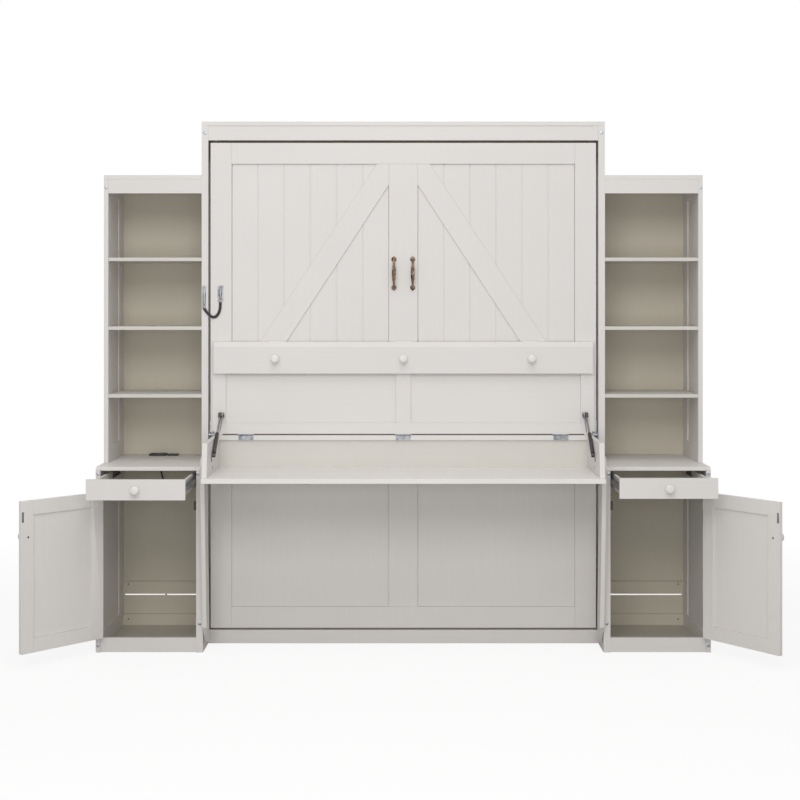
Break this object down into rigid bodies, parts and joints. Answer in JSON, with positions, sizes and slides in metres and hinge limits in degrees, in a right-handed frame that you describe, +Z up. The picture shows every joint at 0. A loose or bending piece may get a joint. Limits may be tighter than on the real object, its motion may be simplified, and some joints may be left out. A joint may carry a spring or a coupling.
{
  "type": "wall bed with fold-down desk",
  "caption": "Cabinet bed that folds down on end pivots, with a level desk under a lift-up lid on its face, between shelf towers on cupboard and drawer bases.",
  "frame": {"origin": "on the floor, at the middle of the centre cabinet's footprint", "axes": "+Z up; the front faces -Y; +X is to the right seen from the front"},
  "size_m": [3.0338, 1.1114, 2.225],
  "materials": {
    "painted_wood": "off-white satin paint on wood",
    "painted_face": "off-white satin paint on boards",
    "painted_inside": "off-white satin paint on plywood",
    "drawer_boards": "off-white lacquer on plywood",
    "bed_timber": "clear lacquered pine",
    "bronze": "oil-rubbed bronze",
    "plated_steel": "zinc plated",
    "strut_rod_steel": "polished",
    "black_steel": "black, semi-gloss",
    "knob_paint": "off-white gloss paint on a turned knob",
    "brown_plastic": "moulded",
    "black_plastic": "moulded",
    "cord_rubber": "smooth jacket",
    "webbing": "woven nylon"
  },
  "bodies": {
    "cabinet": {"centre_sides": "painted_wood", "top_boards": "painted_wood", "front_rails": "painted_wood", "toe_boards": "painted_wood", "floor_boards": "painted_inside", "wall_rails": "painted_inside", "tower_sides": "painted_wood", "shelves": "painted_inside", "back_panels": "painted_inside", "base_sides": "painted_wood", "counters": "painted_wood", "drawer_rails": "black_steel", "magnet_catches": "brown_plastic", "cabinet_hardware": "plated_steel", "power_outlet": "black_plastic", "power_cord": "cord_rubber", "cord_coil": "cord_rubber", "cord_tail": "cord_rubber", "cord_plug": "black_plastic"},
    "bed": {"bed_face_frame": "painted_face", "bed_planks": "painted_face", "bed_braces": "painted_face", "bed_lower_panels": "painted_face", "bed_rails": "bed_timber", "bed_centre_beam": "bed_timber", "bed_slats": "bed_timber", "bed_pull_handles": "bronze", "bed_hardware": "plated_steel", "safety_strap": "webbing"},
    "desk": {"desktop": "painted_wood", "desk_back_board": "painted_inside", "lid_hinge_rail": "painted_wood", "desk_cheeks": "painted_wood", "desk_hardware": "plated_steel"},
    "swing_arms": {"left_arm": "painted_wood", "right_arm": "painted_wood"},
    "desk_lid": {"lid": "painted_wood", "lid_hardware": "plated_steel"},
    "fascia_pins": {"fascia_hinges": "plated_steel"},
    "fascia": {"fascia_board": "painted_wood", "fascia_knobs": "knob_paint"},
    "strut_top_bushes": {"strut_bushes": "plated_steel"},
    "lid_strut_rods": {"strut_rods": "strut_rod_steel"},
    "lid_strut_cylinders": {"strut_cylinders": "black_steel"},
    "bed_lift_cylinders": {"lift_cylinders": "black_steel"},
    "bed_lift_rods": {"lift_rods": "strut_rod_steel"},
    "door_left": {"left_door": "painted_wood", "left_door_knob": "knob_paint", "left_door_hinges": "plated_steel"},
    "door_right": {"right_door": "painted_wood", "right_door_knob": "knob_paint", "right_door_hinges": "plated_steel"},
    "drawer_left": {"left_drawer_front": "painted_wood", "left_drawer_box": "drawer_boards", "left_drawer_knob": "knob_paint", "left_drawer_slides": "plated_steel"},
    "drawer_right": {"right_drawer_front": "painted_wood", "right_drawer_box": "drawer_boards", "right_drawer_knob": "knob_paint", "right_drawer_slides": "plated_steel"}
  },
  "joints": [
    {"name": "bed_fold", "type": "hinge", "parent": "cabinet", "child": "bed", "pos_m": [0, -0.123, 0.3], "axis": [1, 0, 0], "range_deg": [0, 90]},
    {"name": "desk_level", "type": "hinge", "parent": "bed", "child": "desk", "pos_m": [0, -0.212, 0.89], "axis": [1, 0, 0], "range_deg": [-90, 0]},
    {"name": "arm_swing", "type": "hinge", "parent": "cabinet", "child": "swing_arms", "pos_m": [0, -0.33, 0.185], "axis": [1, 0, 0], "range_deg": [0, 90]},
    {"name": "lid_fold", "type": "hinge", "parent": "bed", "child": "desk_lid", "pos_m": [0, -0.212, 0.89], "axis": [-1, 0, 0], "range_deg": [-90, 0]},
    {"name": "fascia_level", "type": "hinge", "parent": "desk_lid", "child": "fascia_pins", "pos_m": [0, -0.2135, 1.286], "axis": [1, 0, 0], "range_deg": [-90, 0]},
    {"name": "fascia_hang", "type": "hinge", "parent": "fascia_pins", "child": "fascia", "pos_m": [0, -0.2135, 1.286], "axis": [1, 0, 0], "range_deg": [-90, 0]},
    {"name": "strut_lie_back", "type": "hinge", "parent": "desk_lid", "child": "strut_top_bushes", "pos_m": [0, -0.237, 0.975], "axis": [1, 0, 0], "range_deg": [-124.5, 0]},
    {"name": "strut_turn", "type": "hinge", "parent": "strut_top_bushes", "child": "lid_strut_rods", "pos_m": [0, -0.237, 0.975], "axis": [1, 0, 0], "range_deg": [-111.1, 0]},
    {"name": "strut_stroke", "type": "slide", "parent": "lid_strut_rods", "child": "lid_strut_cylinders", "axis": [0, 0.8255, 0.5644], "range_m": [0, 0.1015]},
    {"name": "lift_turn", "type": "hinge", "parent": "cabinet", "child": "bed_lift_cylinders", "pos_m": [0, -0.143, 0.7], "axis": [1, 0, 0], "range_deg": [0, 19.4]},
    {"name": "lift_stroke", "type": "slide", "parent": "bed_lift_cylinders", "child": "bed_lift_rods", "axis": [0, -0.1758, 0.9844], "range_m": [0, 0.203]},
    {"name": "left_door_swing", "type": "hinge", "parent": "cabinet", "child": "door_left", "pos_m": [-1.25675, -0.3598, 0.363], "axis": [0, 0, 1], "range_deg": [-10, 132]},
    {"name": "right_door_swing", "type": "hinge", "parent": "cabinet", "child": "door_right", "pos_m": [1.25675, -0.3598, 0.363], "axis": [0, 0, -1], "range_deg": [-10, 127]},
    {"name": "left_drawer_slide", "type": "slide", "parent": "cabinet", "child": "drawer_left", "axis": [0, -1, 0], "range_m": [-0.29, 0.06]},
    {"name": "right_drawer_slide", "type": "slide", "parent": "cabinet", "child": "drawer_right", "axis": [0, -1, 0], "range_m": [-0.243, 0.107]}
  ],
  "couplings": [
    {"joint": "desk_level", "follows": "bed_fold", "ratio": -1},
    {"joint": "arm_swing", "follows": "bed_fold", "ratio": 1},
    {"joint": "fascia_level", "follows": "bed_fold", "ratio": -1},
    {"joint": "strut_lie_back", "follows": "bed_fold", "ratio": -1.3822},
    {"joint": "lift_turn", "follows": "bed_fold", "ratio": 0.2138},
    {"joint": "lift_stroke", "follows": "bed_fold", "m_per_rad": 0.1284},
    {"joint": "fascia_hang", "follows": "lid_fold", "ratio": 1},
    {"joint": "strut_turn", "follows": "lid_fold", "ratio": 1.2333},
    {"joint": "strut_stroke", "follows": "lid_fold", "m_per_rad": -0.0643}
  ]
}
